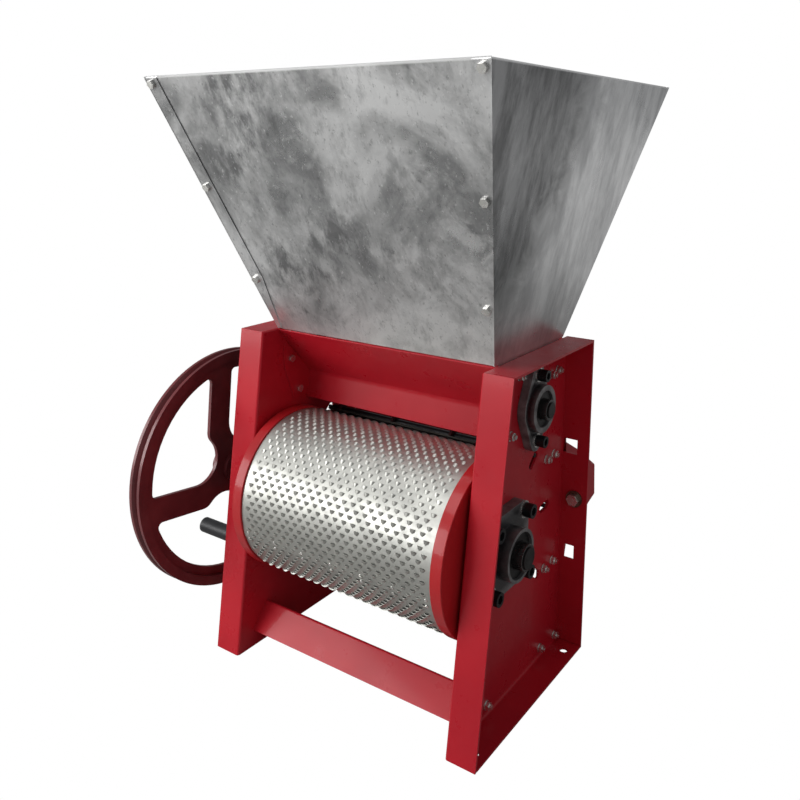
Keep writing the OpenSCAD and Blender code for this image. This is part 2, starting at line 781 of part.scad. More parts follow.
module lozenge(p, pitch, r_mid, r_end) {
  for (s = [-1, 1]) capsule(p, r_mid, p + [0, s * pitch / 2], r_end);
}
feed_inner_r = feed_shaft_d / 2 + 3.5;
feed_ring_out = 9.5;
feed_right = web_out + feed_boss_h + feed_ring_out;
module feed_housing() {
  difference() {
    union() {
      slab(web_out, web_out + feed_flange_t)
        lozenge([feed_y, feed_z], feed_pitch, feed_boss_r + 3, feed_end_r);
      bar_x(feed_boss_r, web_out + feed_flange_t - eps, web_out + feed_boss_h, feed_y, feed_z);
    }
    bar_x(feed_insert_r + run_fit, web_out - 1, web_out + feed_boss_h + 1, feed_y, feed_z);
    for (p = feed_studs)
      bar_x(feed_bolt_d / 2 + 2 * bolt_play, web_out - 1, web_out + feed_flange_t + 1, p[0], p[1]);
  }
}
module feed_bearing_housing_right() color(black) feed_housing();
module feed_bearing_housing_left() color(black) mirror([1, 0, 0]) feed_housing();
module feed_bearing_outer_rings() color(steel) both_sides()
  ring_x(feed_insert_r, feed_inner_r + 0.3, web_out + feed_boss_h - 18, web_out + feed_boss_h - 3,
    feed_y, feed_z);
module feed_bearing_inner_rings() color(steel) both_sides()
  ring_x(feed_inner_r, feed_shaft_d / 2 + run_fit, web_out + 5, feed_right - 2, feed_y, feed_z);
module feed_bearing_screws() color(black) both_sides()
  for (p = feed_studs) web_screw(feed_bolt_d, p, feed_flange_t);
module feed_bearing_nuts() color(black) both_sides()
  for (p = feed_studs) nut_x(feed_bolt_d, feed_bolt_d * nut_flats, web_in - thin_nut_t, web_in, p[0], p[1]);
module feed_bearing_washers() color(zinc) both_sides() for (p = feed_studs) {
  x0 = web_out + feed_flange_t;
  ring_x(feed_bolt_d * 0.95, feed_bolt_d / 2 + bolt_play, x0, x0 + washer_t, p[0], p[1]);
}

// Feed shaft and its vaned roller
pulley_x = shaft_right + 15;
pulley_w = belt_w + 8;
module feed_shaft() color(steel)
  bar_x(feed_shaft_d / 2, -(pulley_x + pulley_w / 2 + 3), feed_right, feed_y, feed_z);

roller_half = web_in - 8;
core_r = feed_shaft_d / 2 + 3.5;
vane_t = 5;
module feed_roller() color(dark_red) difference() {
  union() {
    bar_x(core_r, -roller_half, roller_half, feed_y, feed_z);
    for (i = [0:roller_vanes - 1]) {
      translate([-roller_half, feed_y, feed_z]) rotate([i * 360 / roller_vanes, 0, 0])
        translate([0, -vane_t / 2, core_r - 2]) cube([2 * roller_half, vane_t, roller_r - core_r + 2]);
    }
  }
  bar_x(feed_shaft_d / 2 + run_fit, -web_in, web_in, feed_y, feed_z);
}

// Belt drive from the drum shaft to the feed shaft, outside the left web
groove_play = 0.35;
module pulley(r, bore_r, y, z) {
  difference() {
    bar_x(r, -pulley_x - pulley_w / 2, -pulley_x + pulley_w / 2, y, z);
    difference() {
      bar_x(r + 1, -pulley_x - belt_w / 2 - groove_play, -pulley_x + belt_w / 2 + groove_play, y, z);
      bar_x(r - belt_t - 1, -pulley_x - pulley_w, -pulley_x + pulley_w, y, z);
    }
    bar_x(bore_r + run_fit, -pulley_x - pulley_w, -pulley_x + pulley_w, y, z);
  }
}
module drum_pulley() color(black) pulley(drum_pulley_r, shaft_end_d / 2, drum_y, drum_z);
module feed_pulley() color(black) pulley(feed_pulley_r, feed_shaft_d / 2, feed_y, feed_z);

belt_low_r = drum_pulley_r - belt_t - 1 + groove_play;
belt_high_r = feed_pulley_r - belt_t - 1 + groove_play;
module drive_belt() color(black) slab(-pulley_x - belt_w / 2, -pulley_x + belt_w / 2) difference() {
  capsule([drum_y, drum_z], belt_low_r + belt_t, [feed_y, feed_z], belt_high_r + belt_t);
  capsule([drum_y, drum_z], belt_low_r, [feed_y, feed_z], belt_high_r);
}

// Flywheel: grooved rim, four spokes that pass beside the axis, hub plate and boss
spoke_t = 5.5;
spoke_recess = 6;
spoke_face = -wheel_x + wheel_w / 2 - spoke_recess;
spoke_back = spoke_face - spoke_t;
groove_d = 6;
groove_w = 11;
rim_in = wheel_r - rim_t;
rim_ledge = 13.3;
window_r = rim_in - rim_ledge;
crank_pos = about_drum(window_r - crank_inset, crank_angle);
spoke_lag = 17.5;
key_w = 8;
key_h = 7;
key_l = hub_out + 5;

// Points on an arc about c, from angle a0 to a1
function arc(c, r, a0, a1, steps) =
  [for (i = [0:steps]) c + r * [cos(a0 + (a1 - a0) * i / steps), sin(a0 + (a1 - a0) * i / steps)]];
function angle_of(p) = atan2(p[1], p[0]);

// Window beside a spoke that points along the first axis: a wide round inner end that bites into
// the spoke, two small outer corners and the arc under the rim
spoke_near = spoke_shift - spoke_w / 2;
spoke_far = spoke_shift + spoke_w / 2;
inner_bite = 18;
blend_r = 20;
inner_c = [inner_r - spoke_near, spoke_far + inner_r - inner_bite];
blend_drop = inner_c[1] - spoke_far + blend_r;
blend_c = [inner_c[0] + sqrt(pow(inner_r + blend_r, 2) - pow(blend_drop, 2)), spoke_far - blend_r];
blend_a = angle_of(blend_c - inner_c);
corner_reach = window_r - corner_r;
first_c = [sqrt(pow(corner_reach, 2) - pow(spoke_far + corner_r, 2)), spoke_far + corner_r];
last_c = [corner_r - spoke_near, sqrt(pow(corner_reach, 2) - pow(corner_r - spoke_near, 2))];
window_line = concat(
  arc(inner_c, inner_r, 180, 360 + blend_a, 16),
  arc(blend_c, blend_r, 180 + blend_a, 90, 5),
  arc(first_c, corner_r, -90, angle_of(first_c), 6),
  arc([0, 0], window_r, angle_of(first_c) + 2, angle_of(last_c) - 2, 14),
  arc(last_c, corner_r, angle_of(last_c), 180, 6));

module flywheel() color(dark_red) difference() {
  union() {
    translate([-wheel_x, drum_y, drum_z]) rotate([0, 90, 0]) rotate_extrude($fn = 120) polygon([
      [rim_in, -wheel_w / 2], [wheel_r, -wheel_w / 2], [wheel_r, -groove_w / 2],
      [wheel_r - groove_d, -groove_w / 5], [wheel_r - groove_d, groove_w / 5],
      [wheel_r, groove_w / 2], [wheel_r, wheel_w / 2], [rim_in, wheel_w / 2]]);
    slab(spoke_back, spoke_face) translate([drum_y, drum_z]) difference() {
      circle(rim_in + 1, $fn = 120);
      for (k = [0:3]) rotate(crank_angle - spoke_lag + 90 * k) polygon(window_line);
    }
    bar_x(hub_r, -wheel_x - hub_out, -wheel_x + wheel_w / 2, drum_y, drum_z);
  }
  bar_x(shaft_end_d / 2 + run_fit, -wheel_x - hub_out - 1, -wheel_x + wheel_w, drum_y, drum_z);
  translate([-wheel_x - hub_out - 1, drum_y - key_w / 2 - run_fit, drum_z])
    cube([key_l + wheel_w, key_w + 2 * run_fit, shaft_end_d / 2 + key_h / 2 + run_fit]);
  translate([-wheel_x - hub_out + 10, drum_y, drum_z]) rotate([90, 0, 0])
    cylinder(r = 3 + run_fit, h = hub_r + 1);
  bar_x(pin_d / 2 + run_fit, -wheel_x - wheel_w, -wheel_x + wheel_w, crank_pos[0], crank_pos[1]);
}

module flywheel_key() color(steel)
  translate([-shaft_left + 1, drum_y - key_w / 2 + run_fit, drum_z + shaft_end_d / 2 - key_h / 2 + run_fit])
    cube([key_l - 2, key_w - 2 * run_fit, key_h - 2 * run_fit]);

module flywheel_set_screw() color(steel)
  translate([-wheel_x - hub_out + 10, drum_y - shaft_end_d / 2 - 0.1, drum_z]) rotate([90, 0, 0])
    cylinder(r = 3, h = hub_r - shaft_end_d / 2 + 0.5);

// Crank pin, its nut, and the grip that turns on it
grip_x = wheel_x + wheel_w / 2 + 4;
pin_collar_r = 10;
pin_head_r = 9;
pin_head_t = 5;
cap_t = 4;
module crank_pin() color(steel) {
  end = grip_x + grip_l - cap_t - 1;
  bar_x(pin_d / 2, -end, spoke_face + 12, crank_pos[0], crank_pos[1]);
  bar_x(pin_collar_r, -grip_x + 0.4, spoke_back, crank_pos[0], crank_pos[1]);
  bar_x(pin_head_r, -end, -end + pin_head_t, crank_pos[0], crank_pos[1]);
}

module crank_pin_nut() color(zinc)
  nut_x(pin_d, 18, spoke_face, spoke_face + 10, crank_pos[0], crank_pos[1]);

module crank_grip() color(black) difference() {
  bar_x(grip_r, -grip_x - grip_l, -grip_x, crank_pos[0], crank_pos[1]);
  bar_x(pin_d / 2 + 0.2, -grip_x - grip_l - 1, -grip_x + 1, crank_pos[0], crank_pos[1]);
  bar_x(pin_head_r + 0.4, -grip_x - grip_l - 1, -grip_x - grip_l + cap_t + 1 + pin_head_t + 0.4,
    crank_pos[0], crank_pos[1]);
}

module grip_cap() color(black)
  bar_x(pin_head_r + 0.35, -grip_x - grip_l, -grip_x - grip_l + cap_t, crank_pos[0], crank_pos[1]);

// A part of a ring about the drum's axis, between two angles
module ring_sector(r_in, r_out, a0, a1, x0, x1) {
  steps = 4;
  reach = r_out * 1.5;
  fan = [for (i = [0:steps]) about_drum(reach, a0 + (a1 - a0) * i / steps)];
  intersection() {
    ring_x(r_out, r_in, x0, x1, drum_y, drum_z);
    slab(x0 - 1, x1 + 1) polygon(concat([[drum_y, drum_z]], fan));
  }
}

// Curved breast plate behind the drum
breast_half = disc_out - 4;
module breast_plate() color(dark_red)
  ring_sector(breast_r, breast_r + breast_t, -breast_low, breast_top, -breast_half, breast_half);

// Ribs behind the plate, seated on it: rods pass through them, and the outer two carry the screws' lugs
module breast_ribs() color(dark_red) difference() {
  union() {
    for (s = [-1, 1], x = rib_x) {
      ring_sector(breast_r + breast_t + rib_seat, breast_r + breast_t + rib_h, -breast_low + rib_short,
        breast_top - rib_short, s * x - rib_t / 2, s * x + rib_t / 2);
    }
    for (s = [-1, 1]) {
      translate([s * screw_x - neck_t / 2, lug_y - neck_reach, screw_z - lug_h / 2])
        cube([neck_t, neck_reach + lug_t - 1, lug_h]);
      translate([s * screw_x - lug_w / 2, lug_y, screw_z - lug_h / 2]) cube([lug_w, lug_t, lug_h]);
    }
  }
  for (a = rod_angles) {
    c = about_drum(rod_r, a);
    bar_x(rod_d / 2 + run_fit, -web_in, web_in, c[0], c[1]);
  }
  for (s = [-1, 1]) {
    bar_y(journal_d / 2 + run_fit, s * screw_x, lug_y - 1, lug_y + lug_t + 1, screw_z);
    translate([s * screw_x - clip_r - 1, lug_y - clip_room, screw_z - clip_r - 1])
      cube([2 * clip_r + 2, clip_room, 2 * clip_r + 2]);
  }
}

rod_half = web_in - 6;
module breast_rods() color(steel) for (a = rod_angles) {
  c = about_drum(rod_r, a);
  union() {
    bar_x(rod_d / 2, -rod_half, rod_half, c[0], c[1]);
    bar_x(rod_end_d / 2, -web_out + 0.5, web_out - 0.5, c[0], c[1]);
  }
}

// Wear bars on the breast's inner face
bar_count = 5;
bar_margin = 8;
wear_t = 1.75;
wear_seat = 0.25;
wear_w = 8;
module breast_bars() color(steel) for (i = [0:bar_count - 1]) {
  a = -breast_low + bar_margin + i * (breast_low + breast_top - 2 * bar_margin) / (bar_count - 1);
  half = wear_w / 2 / breast_r * 180 / PI;
  ring_sector(breast_r - wear_t, breast_r - wear_seat, a - half, a + half, -breast_half + 4, breast_half - 4);
}

// Adjusting screws along Y, held in the breast's lugs
screw_head = 7;
clip_r = 6.5;
clip_t = 1.2;
module adjuster_screw(s) color(zinc) union() {
  bar_y(journal_d / 2, s * screw_x, lug_y - clip_t - 2, lug_y + lug_t + 0.3, screw_z);
  bar_y(screw_d / 2, s * screw_x, lug_y + lug_t + 0.2, bar_y0 + bar_t + locknut_t + 10, screw_z);
  hex_y(screw_d * 1.7, s * screw_x, bar_y0 + bar_t + locknut_t + 9.9,
    bar_y0 + bar_t + locknut_t + 10 + screw_head, screw_z);
}
module adjuster_screw_right() adjuster_screw(1);
module adjuster_screw_left() adjuster_screw(-1);

module adjuster_clip(s) color(steel) difference() {
  bar_y(clip_r, s * screw_x, lug_y - clip_t - 0.2, lug_y - 0.2, screw_z);
  bar_y(journal_d / 2 + run_fit, s * screw_x, lug_y - 3, lug_y + 1, screw_z);
}
module adjuster_clip_right() adjuster_clip(1);
module adjuster_clip_left() adjuster_clip(-1);

side_plate_right();
side_plate_left();
throat_front_panel();
throat_rear_panel();
front_lower_rail();
rear_lower_rail();
rear_hood();
adjuster_bar();
adjuster_locknuts();
frame_bolts();
frame_nuts();
frame_washers();
hood_bolts();
hood_nuts();
hood_washers();
hopper_front();
hopper_rear();
hopper_side_right();
hopper_side_left();
hopper_bolts();
hopper_nuts();
drum_skin();
drum_disc_right();
drum_disc_left();
drum_seam_rivets();
drum_shaft();
drum_bearing_housing_right();
drum_bearing_housing_left();
drum_bearing_outer_rings();
drum_bearing_inner_rings();
drum_bearing_screws();
drum_bearing_nuts();
drum_bearing_washers();
feed_bearing_housing_right();
feed_bearing_housing_left();
feed_bearing_outer_rings();
feed_bearing_inner_rings();
feed_bearing_screws();
feed_bearing_nuts();
feed_bearing_washers();
feed_shaft();
feed_roller();
drum_pulley();
feed_pulley();
drive_belt();
flywheel();
flywheel_key();
flywheel_set_screw();
crank_pin();
crank_pin_nut();
crank_grip();
grip_cap();
breast_plate();
breast_ribs();
breast_rods();
breast_bars();
adjuster_screw_right();
adjuster_screw_left();
adjuster_clip_right();
adjuster_clip_left();
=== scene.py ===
"""Looks of the coffee pulper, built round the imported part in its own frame, in metres."""
import json
import math
import random

import bmesh
import bpy
from mathutils import Matrix, Vector

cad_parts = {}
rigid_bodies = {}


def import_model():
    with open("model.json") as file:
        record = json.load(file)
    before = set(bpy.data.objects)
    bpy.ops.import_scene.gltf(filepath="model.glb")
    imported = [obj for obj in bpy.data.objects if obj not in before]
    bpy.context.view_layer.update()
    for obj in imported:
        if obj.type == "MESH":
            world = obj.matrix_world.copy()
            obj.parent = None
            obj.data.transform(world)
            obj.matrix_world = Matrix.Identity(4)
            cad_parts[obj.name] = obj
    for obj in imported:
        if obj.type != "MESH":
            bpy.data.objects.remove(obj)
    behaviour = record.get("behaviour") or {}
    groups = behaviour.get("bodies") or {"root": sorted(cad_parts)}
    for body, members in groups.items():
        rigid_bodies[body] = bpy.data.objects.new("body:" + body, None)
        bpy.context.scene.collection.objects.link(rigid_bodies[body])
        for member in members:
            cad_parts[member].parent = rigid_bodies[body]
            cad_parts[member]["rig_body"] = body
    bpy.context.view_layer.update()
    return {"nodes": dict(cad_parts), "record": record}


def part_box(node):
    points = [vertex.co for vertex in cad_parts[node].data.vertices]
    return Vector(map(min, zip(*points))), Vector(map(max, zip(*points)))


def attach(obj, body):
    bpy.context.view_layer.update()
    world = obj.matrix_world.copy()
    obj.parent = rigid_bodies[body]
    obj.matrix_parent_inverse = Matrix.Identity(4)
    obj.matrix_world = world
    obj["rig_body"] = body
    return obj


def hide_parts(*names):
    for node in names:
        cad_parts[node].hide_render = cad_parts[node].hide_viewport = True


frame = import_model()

NODES = frame["nodes"]
RECORD = frame["record"]
BODY_OF = {name: obj["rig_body"] for name, obj in NODES.items()}
SLOT_OF = {part["node"]: part["material_slot"] for part in RECORD["subparts"]}


# Materials

DUST = (0.62, 0.45, 0.42)
# Colours of the zinc: two tones of its clouds, then of what lies over them
CLOUD_DARK, CLOUD_LIGHT = (0.28, 0.282, 0.285), (0.78, 0.78, 0.78)
PATCH, RUN, STAIN = (0.80, 0.80, 0.80), (0.13, 0.132, 0.135), (0.16, 0.162, 0.165)
SPECK, FLECK = (0.08, 0.082, 0.085), (0.95, 0.95, 0.95)
SPANGLES = ((0.2, 0.2, 0.2), (0.7, 0.7, 0.7))
# Painted highlight on the folds and the upper rim, and painted reflection over the foot
FOLD_AND_RIM_HIGHLIGHT, FOOT_REFLECTION = (0.98, 0.98, 0.98), (0.92, 0.92, 0.92)
# Painted reflection on the right side of the hopper, streaked: its colours where it is painted dark and where
# it is painted light
SIDE_PAINTED_SHADE = ((0.12, 0.12, 0.122), (0.34, 0.34, 0.345))
SIDE_PAINTED_LIGHT = ((0.93, 0.93, 0.93), (0.55, 0.55, 0.555))
# Centres and reaches of the dark stains on the hopper's front sheet
STAINS = (((-0.085, -0.184, 0.752), 0.12), ((-0.15, -0.160, 0.700), 0.075),
          ((-0.02, -0.118, 0.612), 0.11), ((-0.10, -0.100, 0.560), 0.075))
# A stain is fully dark in this share of its reach, and its outline wanders by so much
STAIN_CORE, STAIN_WANDER = 0.2, 0.05
# The painted reflection on the right side turns from dark to light between these places on the Y axis,
# wandering a little
SHADE_FROM, SHADE_TO, SHADE_WANDER = -0.035, 0.065, 0.03
# Low down the painted reflection turns light nearer to the front: heights, and how far it shifts at each
SHADE_LOW, SHADE_HIGH, SHIFT_LOW, SHIFT_HIGH = 0.48, 0.70, 0.10, -0.02
# The painted reflection over the hopper's foot and the painted highlight under its upper edge, by height
HOPPER_FOOT, HOPPER_TOP = (corner[2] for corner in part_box("hopper_front"))
FOOT_FROM, FOOT_TO = HOPPER_FOOT + 0.0025, HOPPER_FOOT + 0.0215
RIM_FROM, RIM_TO = HOPPER_TOP - 0.0035, HOPPER_TOP - 0.0018


class Look:
    """A material under construction, with short calls for the nodes that it needs."""

    def __init__(self, name):
        self.mat = bpy.data.materials.new(name)
        self.mat.use_nodes = True
        self.tree = self.mat.node_tree
        self.tree.nodes.clear()
        self.where = self.node("TexCoord").outputs["Object"]
        self.bsdf = self.node("BsdfPrincipled")
        self.surface = self.node("OutputMaterial").inputs["Surface"]
        self.link(self.bsdf.outputs["BSDF"], self.surface)

    def node(self, kind, inputs=None, **settings):
        """A new node. An input is linked if it is given a socket, and set if it is given a value."""
        made = self.tree.nodes.new("ShaderNode" + kind)
        for key, value in settings.items():
            setattr(made, key, value)
        for key, value in (inputs or {}).items():
            self.put(made.inputs[key], value)
        return made

    def link(self, source, target):
        self.tree.links.new(source, target)

    def put(self, socket, value):
        if isinstance(value, bpy.types.NodeSocket):
            self.link(value, socket)
        elif socket.type == "RGBA":
            socket.default_value = (*value, 1)
        else:
            socket.default_value = value

    def stretched(self, scale, turn=(0, 0, 0)):
        """The place on the object, scaled along each axis and turned."""
        inputs = {"Vector": self.where, "Scale": scale, "Rotation": turn}
        return self.node("Mapping", inputs).outputs["Vector"]

    def noise(self, scale, detail=3.0, rough=0.55, vector=None, distortion=0.0):
        inputs = {"Scale": scale, "Detail": detail, "Roughness": rough, "Distortion": distortion,
                  "Vector": vector or self.where}
        return self.node("TexNoise", inputs).outputs["Fac"]

    def axes(self, vector):
        return self.node("SeparateXYZ", {"Vector": vector}).outputs

    def span(self, value, low, high, start=0.0, end=1.0):
        """From low to high while the value goes from start to end, and flat outside."""
        inputs = {"Value": value, "From Min": start, "From Max": end, "To Min": low, "To Max": high}
        return self.node("MapRange", inputs).outputs["Result"]

    def mix(self, share, first, second):
        """Colour between the first, at share 0, and the second, at share 1."""
        inputs = {"Factor": share, "A": first, "B": second}
        return self.node("Mix", inputs, data_type="RGBA").outputs["Result"]

    def math(self, operation, first, second=0.0):
        return self.node("Math", {0: first, 1: second}, operation=operation).outputs["Value"]

    def bump(self, height, strength, distance=0.001, normal=None):
        inputs = {"Strength": strength, "Distance": distance, "Height": height}
        if normal is not None:
            inputs["Normal"] = normal
        return self.node("Bump", inputs).outputs["Normal"]

    def outer_edges(self, reach):
        """1 on outer edges and 0 on flat faces, from the surface's own shape."""
        return self.span(self.node("NewGeometry").outputs["Pointiness"], 0, 1, 0.5, 0.5 + reach)

    def finish(self, colour, rough, metallic, normal, coat=0.0, coat_rough=0.1, specular=0.5):
        values = {"Base Color": colour, "Roughness": rough, "Metallic": metallic, "Normal": normal,
                  "Coat Weight": coat, "Coat Roughness": coat_rough, "Specular IOR Level": specular}
        for key, value in values.items():
            self.put(self.bsdf.inputs[key], value)
        return self.mat


def paint(name, base, deep, rough=0.30, coat=0.15):
    """Sprayed gloss paint on steel: drifting tone, fine orange peel, dust specks and dulled patches."""
    k = Look(name)
    tone = k.mix(k.span(k.noise(6, 4), 0, 1, 0.35, 0.7), base, deep)
    tone = k.mix(k.span(k.noise(900, 2, 0.7), 0, 0.08, 0.74, 0.8), tone, DUST)
    dulled = k.span(k.noise(28, 5, 0.65), rough - 0.06, rough + 0.12, 0.3, 0.75)
    peel = k.bump(k.noise(420, 2, 0.4), strength=0.06, distance=0.0004)
    waves = k.bump(k.noise(9, 2), strength=0.08, distance=0.004, normal=peel)
    return k.finish(tone, dulled, 0.0, waves, coat, coat_rough=0.08, specular=0.24)


def stained(k, tone, patches, runs):
    """Dark stains with ragged outlines and light breaks in them."""
    stain = None
    for centre, reach in STAINS:
        away = k.node("VectorMath", {0: k.where, 1: centre}, operation="DISTANCE").outputs["Value"]
        ragged = k.math("ADD", away, k.span(patches, STAIN_WANDER, -STAIN_WANDER, 0.3, 0.7))
        spot = k.span(ragged, 1, 0, STAIN_CORE * reach, reach)
        stain = spot if stain is None else k.math("MAXIMUM", stain, spot)
    return k.mix(k.math("MULTIPLY", stain, k.span(runs, 0.25, 0.95, 0.38, 0.58)), tone, STAIN)


def side_painted_reflection(k, tone, patches, place, facing):
    """Painted reflection on the hopper's right side, streaked: painted dark at the front and painted light at
    the rear.
    """
    drift = k.math("ADD", place["Y"], k.span(patches, -SHADE_WANDER, SHADE_WANDER, 0.3, 0.7))
    drift = k.math("ADD", drift, k.span(place["Z"], SHIFT_LOW, SHIFT_HIGH, SHADE_LOW, SHADE_HIGH))
    streak = k.noise(30, 5, 0.7, k.stretched((1.0, 1.0, 0.22)))
    dark = k.mix(k.span(streak, 0, 1, 0.40, 0.62), *SIDE_PAINTED_SHADE)
    light = k.mix(k.span(streak, 0, 1, 0.38, 0.66), *SIDE_PAINTED_LIGHT)
    shade = k.mix(k.span(drift, 0, 1, SHADE_FROM, SHADE_TO), dark, light)
    side = k.span(facing["X"], 0, 1, 0.80, 0.90)
    return k.mix(k.math("MULTIPLY", side, 0.85), tone, shade)


def galvanised(name):
    """Zinc-coated sheet: dull clouds, dark stains, light flecks, faint spangles and a soft waviness.
    The right side has a painted reflection, darker at the front and lighter at the rear, and the folds and
    the upper rim have painted highlights."""
    k = Look(name)
    clouds = k.noise(7.0, 6, 0.6, distortion=0.5)
    patches = k.noise(21, 5, 0.66, k.stretched((1.0, 1.0, 0.9), (0.3, 0.2, 0)), 0.5)
    runs = k.noise(44, 4, 0.7, k.stretched((1.0, 1.0, 0.25)))
    specks = k.noise(210, 3, 0.75, k.stretched((1.0, 1.0, 0.5)))
    flecks = k.noise(240, 2, 0.7, k.stretched((1.0, 1.0, 0.45), (0, 0.6, 0)))
    spangle = k.node("TexVoronoi", {"Scale": 75, "Vector": k.stretched((1, 1, 0.8))}).outputs["Color"]
    place = k.axes(k.where)
    facing = k.axes(k.node("NewGeometry").outputs["Normal"])
    tone = k.mix(k.span(clouds, 0, 1, 0.40, 0.58), CLOUD_DARK, CLOUD_LIGHT)
    tone = k.mix(k.span(patches, 0, 0.7, 0.48, 0.62), tone, PATCH)
    tone = k.mix(k.span(runs, 0, 0.35, 0.52, 0.66), tone, RUN)
    tone = stained(k, tone, patches, runs)
    tone = k.mix(k.span(specks, 0, 0.45, 0.58, 0.70), tone, SPECK)
    tone = k.mix(k.span(flecks, 0, 0.45, 0.64, 0.72), tone, FLECK)
    tone = k.mix(0.12, tone, k.mix(k.span(spangle, 0, 1), *SPANGLES))
    # Painted reflection on the right side: dark at the front, light at the rear
    tone = side_painted_reflection(k, tone, patches, place, facing)
    # Painted highlight on the folds, where the face turns between front and side, and along the upper rim
    across = k.math("ABSOLUTE", facing["X"])
    fold = k.math("MULTIPLY", k.span(across, 0, 1, 0.12, 0.3), k.span(across, 1, 0, 0.72, 0.86))
    tone = k.mix(k.math("MAXIMUM", fold, k.span(place["Z"], 0, 1, RIM_FROM, RIM_TO)), tone, FOLD_AND_RIM_HIGHLIGHT)
    # Painted reflection: a light band over the foot, broken up by the patches
    foot = k.math("MULTIPLY", k.span(place["Z"], 1, 0, FOOT_FROM, FOOT_TO), k.span(patches, 0.4, 1, 0.4, 0.6))
    tone = k.mix(k.math("MULTIPLY", foot, 0.6), tone, FOOT_REFLECTION)
    dulled = k.math("ADD", k.span(clouds, 0.27, 0.40, 0.35, 0.65), k.span(runs, -0.05, 0.08, 0.3, 0.8))
    grain = k.bump(spangle, strength=0.05, distance=0.0003)
    waves = k.bump(k.noise(6, 3), strength=0.3, distance=0.008, normal=grain)
    return k.finish(tone, dulled, 0.8, waves)


def metal(name, base, deep, rough, grain=350, metallic=0.95, scratch=0.12, relief=0.08):
    """Bare or plated metal: turned or rolled grain, stains and small scratches."""
    k = Look(name)
    stain = k.noise(45, 5, 0.62)
    line = k.noise(grain, 3, 0.6, k.stretched((0.05, 1, 1)))
    tone = k.mix(k.span(stain, 0, 1, 0.35, 0.7), base, deep)
    tone = k.mix(k.span(k.noise(1400, 2, 0.6), 0, scratch, 0.5, 0.8), tone, deep)
    dulled = k.math("ADD", k.span(stain, rough - 0.06, rough + 0.1, 0.3, 0.75), k.span(line, -0.04, 0.05))
    return k.finish(tone, dulled, metallic, k.bump(line, relief, distance=0.0002))


def casting(name, base, deep, rough, coat, edge_wear_and_sheen=None):
    """Painted iron casting: sand-cast skin and softer hollows, and where given lighter outer edges, partly
    paint wear and partly painted highlight.
    """
    k = Look(name)
    tone = k.mix(k.span(k.noise(30, 4), 0, 1, 0.35, 0.7), base, deep)
    if edge_wear_and_sheen:
        # Lighter outer edges: partly paint wear, partly painted highlight
        wear_and_sheen = k.math("MULTIPLY", k.outer_edges(0.06), k.span(k.noise(60, 4), 0.3, 1.0, 0.35, 0.65))
        tone = k.mix(wear_and_sheen, tone, edge_wear_and_sheen)
    sand = k.noise(650, 4, 0.65)
    dulled = k.span(sand, rough - 0.05, rough + 0.12, 0.3, 0.7)
    skin = k.bump(sand, strength=0.12, distance=0.0004)
    lumps = k.bump(k.noise(70, 3, 0.5), strength=0.18, distance=0.001, normal=skin)
    return k.finish(tone, dulled, 0.0, lumps, coat, coat_rough=0.15)


def moulded(name, base, deep, rough):
    """Moulded plastic or rubber: fine grain and rub marks."""
    k = Look(name)
    tone = k.mix(k.span(k.noise(60, 4), 0, 1, 0.35, 0.75), base, deep)
    rubs = k.span(k.noise(90, 4), rough - 0.08, rough + 0.12, 0.3, 0.75)
    grain = k.bump(k.noise(1500, 2, 0.5), strength=0.1, distance=0.0002)
    return k.finish(tone, rubs, 0.0, grain, specular=0.45)


# How each look is made, then its colour, its colour where it is deep or stained, its roughness and the rest
RECIPES = {
    "red_paint": (paint, (0.56, 0.014, 0.026), (0.45, 0.009, 0.020)),
    "disc_paint": (paint, (0.50, 0.018, 0.022), (0.38, 0.010, 0.015), 0.34, 0.3),
    # Painted shade: paint for the breast ribs, darkened to the shade in the gap between the throat's lip and
    # the drum
    "rib_paint_painted_shade": (paint, (0.07, 0.012, 0.014), (0.035, 0.008, 0.010), 0.5, 0.0),
    # The flywheel's red is darker than the frame's: partly its own darker paint, partly painted shade
    "wheel_paint": (casting, (0.175, 0.026, 0.030), (0.125, 0.016, 0.020), 0.36, 0.3),
    # Black iron: its last colour lightens the outer edges, partly as paint wear and partly as painted
    # highlight
    "black_iron": (casting, (0.022, 0.020, 0.022), (0.012, 0.010, 0.012), 0.30, 0.35, (0.30, 0.28, 0.28)),
    "galvanised_sheet": (galvanised,),
    "drum_steel": (metal, (0.515, 0.515, 0.48), (0.41, 0.41, 0.385), 0.44, 300, 0.9, 0.3, 0.05),
    # Painted shade: a darker copy of the drum steel for the teeth's backs
    "tooth_steel_painted_shade": (metal, (0.34, 0.345, 0.32), (0.24, 0.24, 0.225), 0.28, 300, 0.95, 0.3, 0.05),
    "mouth_shadow": (metal, (0.06, 0.065, 0.062), (0.03, 0.033, 0.032), 0.6, 300, 0.2),
    "shaft_dark": (metal, (0.055, 0.052, 0.052), (0.03, 0.028, 0.028), 0.34, 400, 0.9),
    "ring_steel": (metal, (0.16, 0.15, 0.15), (0.09, 0.085, 0.085), 0.28, 500),
    # Painted shade: steel for the breast plate, darkened to the shade in the gap between the throat's lip and
    # the drum
    "plate_steel_painted_shade": (metal, (0.09, 0.08, 0.07), (0.04, 0.036, 0.032), 0.5, 300, 0.7),
    "washer_bronze": (metal, (0.22, 0.165, 0.115), (0.12, 0.09, 0.07), 0.34, 300, 0.9),
    "zinc": (metal, (0.88, 0.87, 0.84), (0.62, 0.61, 0.58), 0.24),
    "bare_steel": (metal, (0.40, 0.39, 0.38), (0.26, 0.25, 0.24), 0.36),
    "black_steel": (metal, (0.030, 0.030, 0.032), (0.016, 0.016, 0.018), 0.36, 500, 0.6),
    "belt_rubber": (moulded, (0.018, 0.018, 0.018), (0.035, 0.033, 0.032), 0.7),
    "grip_plastic": (moulded, (0.014, 0.014, 0.016), (0.024, 0.024, 0.026), 0.42),
}
LOOKS = {name: make(name, *values) for name, (make, *values) in RECIPES.items()}


